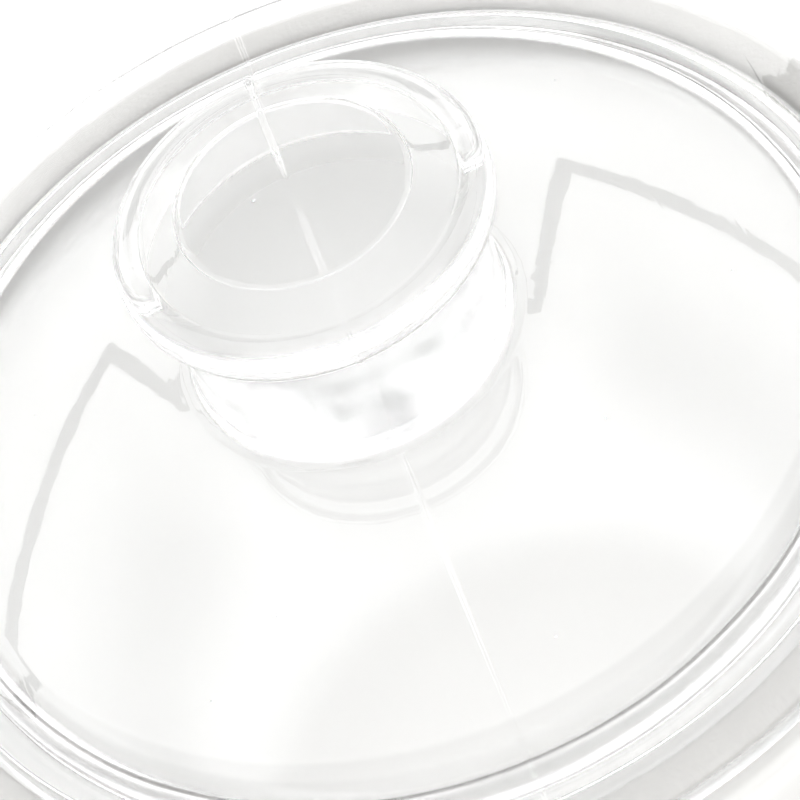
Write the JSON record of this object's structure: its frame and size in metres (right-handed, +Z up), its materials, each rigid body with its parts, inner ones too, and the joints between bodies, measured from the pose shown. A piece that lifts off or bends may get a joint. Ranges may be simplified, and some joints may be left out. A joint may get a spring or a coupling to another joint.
{
  "type": "yarn bowl",
  "caption": "Round white bowl that holds a ball of yarn, with a hooked slot that guides the strand, and a clear glass lift-off lid with a spool-shaped knob.",
  "frame": {"origin": "centre of the circle that the bowl's foot ring stands on", "axes": "+Z up along the turning axis of bowl, lid and knob; +X out through the yarn slot"},
  "size_m": [0.164, 0.164, 0.1344],
  "materials": {
    "white_glaze": "opaque white glazed ceramic, glossy",
    "clear_glass": "clear pressed glass, polished and faintly rippled"
  },
  "bodies": {
    "bowl": {"bowl": "white_glaze"},
    "lid": {"lid": "clear_glass"}
  },
  "joints": [
    {"name": "lid_lift", "type": "slide", "parent": "bowl", "child": "lid", "axis": [0, 0, 1], "range_m": [0, 0.06]}
  ]
}
